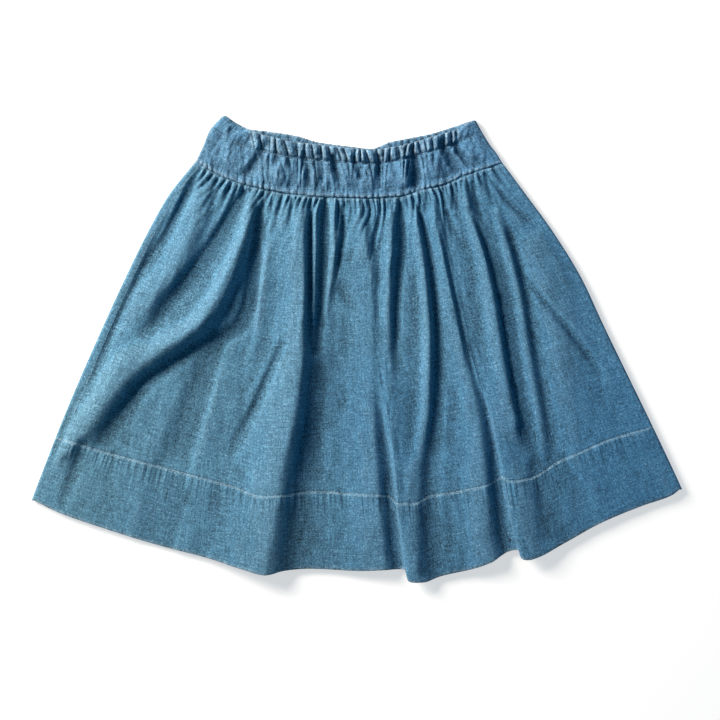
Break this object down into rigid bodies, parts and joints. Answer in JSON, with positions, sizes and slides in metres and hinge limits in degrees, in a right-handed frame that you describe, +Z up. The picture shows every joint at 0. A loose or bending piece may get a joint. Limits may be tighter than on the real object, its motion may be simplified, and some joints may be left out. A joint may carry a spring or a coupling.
{
  "type": "child's gathered skirt laid flat",
  "caption": "Child's gathered skirt in plain blue chambray: smooth yoke, puckered elastic waist casing, full gathered panels and a deep turned-up hem, laid flat with its front up.",
  "frame": {"origin": "centre of the box around the laid skirt, on the surface that it lies on", "axes": "+X across the skirt to the right as seen from above with the waist away, +Y from hem to waist, +Z up from the surface"},
  "size_m": [0.553, 0.3953, 0.0177],
  "materials": {
    "yoke_chambray": "soft washed blue chambray, matt, with pale worn edges",
    "panel_chambray": "soft washed blue chambray, matt, slubby plain weave"
  },
  "bodies": {
    "root": {"yoke_front": "yoke_chambray", "yoke_back": "yoke_chambray", "skirt_front": "panel_chambray", "skirt_back": "panel_chambray"}
  },
  "joints": []
}
